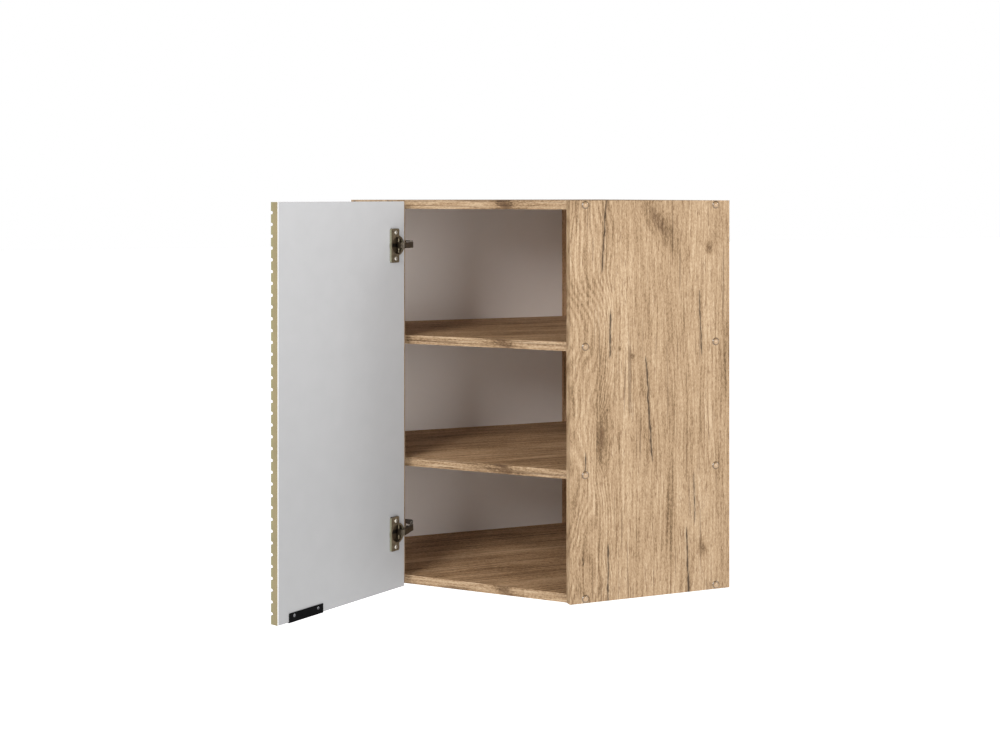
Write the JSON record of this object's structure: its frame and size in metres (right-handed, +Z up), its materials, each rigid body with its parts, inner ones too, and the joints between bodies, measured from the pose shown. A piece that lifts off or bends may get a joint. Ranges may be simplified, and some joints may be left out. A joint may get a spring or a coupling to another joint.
{
  "type": "corner wall cabinet",
  "caption": "Diagonal corner wall cabinet in wood-look board, with fixed shelves, a recessed back and a grooved door that swings on concealed hinges and has an edge pull below.",
  "frame": {"origin": "the room corner at the height of the cabinet's underside, where its two rear planes meet", "axes": "+X runs out from the wall that the left side panel's rear edge meets, -Y runs out from the wall that the right side panel's rear edge meets, +Z up; the door opening faces +X -Y"},
  "size_m": [0.5736, 0.8469, 0.7235],
  "materials": {
    "oak_board": "matt laminate with an oak grain",
    "hardboard": "matt pale lacquer",
    "door_board": "matt olive film on the front and edges, white inside",
    "screw_caps": "satin, oak coloured",
    "hinge_metal": "antique bronze plating",
    "hinge_screws": "antique bronze plating, bright edges",
    "pull_metal": "matt black powder coat",
    "pull_screws": "black zinc",
    "hanger_steel": "zinc plated",
    "plain_screws": "zinc plated"
  },
  "bodies": {
    "cabinet": {"back_sheet_left_lower": "hardboard", "back_sheet_left_middle": "hardboard", "back_sheet_left_upper": "hardboard", "back_sheet_right_lower": "hardboard", "back_sheet_right_middle": "hardboard", "back_sheet_right_upper": "hardboard", "bottom_panel": "oak_board", "corner_post_left": "oak_board", "corner_post_right": "oak_board", "hanger_left": "hanger_steel", "hanger_right": "hanger_steel", "hanger_screws": "plain_screws", "hinge_arm_lower": "hinge_metal", "hinge_arm_rivets_lower": "hinge_screws", "hinge_arm_rivets_upper": "hinge_screws", "hinge_arm_screws_lower": "hinge_screws", "hinge_arm_screws_upper": "hinge_screws", "hinge_arm_upper": "hinge_metal", "hinge_plate_lower": "hinge_metal", "hinge_plate_screws_lower": "hinge_screws", "hinge_plate_screws_upper": "hinge_screws", "hinge_plate_upper": "hinge_metal", "panel_screws_left": "plain_screws", "panel_screws_right": "plain_screws", "post_screws": "plain_screws", "screw_caps_left": "screw_caps", "screw_caps_right": "screw_caps", "shelf_lower": "oak_board", "shelf_upper": "oak_board", "side_panel_left": "oak_board", "side_panel_right": "oak_board", "top_panel": "oak_board"},
    "door": {"door_panel": "door_board", "edge_pull": "pull_metal", "edge_pull_screws": "pull_screws", "hinge_cup_lower": "hinge_metal", "hinge_cup_pin_lower": "hinge_screws", "hinge_cup_pin_upper": "hinge_screws", "hinge_cup_screws_lower": "hinge_screws", "hinge_cup_screws_upper": "hinge_screws", "hinge_cup_upper": "hinge_metal"},
    "hinge_links": {"hinge_inner_link_lower": "hinge_metal", "hinge_inner_link_upper": "hinge_metal", "hinge_link_rivet_lower": "hinge_screws", "hinge_link_rivet_upper": "hinge_screws", "hinge_outer_link_lower": "hinge_metal", "hinge_outer_link_upper": "hinge_metal"}
  },
  "joints": [
    {"name": "door_swing", "type": "hinge", "parent": "cabinet", "child": "door", "pos_m": [0.33401, -0.56719, 0.36], "axis": [0, 0, 1], "range_deg": [-6, 104]},
    {"name": "links_fold", "type": "hinge", "parent": "door", "child": "hinge_links", "pos_m": [0.35222, -0.57537, 0.3705], "axis": [0, 0, 1], "range_deg": [-63, 4]}
  ],
  "couplings": [
    {"joint": "links_fold", "follows": "door_swing", "ratio": -0.6}
  ]
}
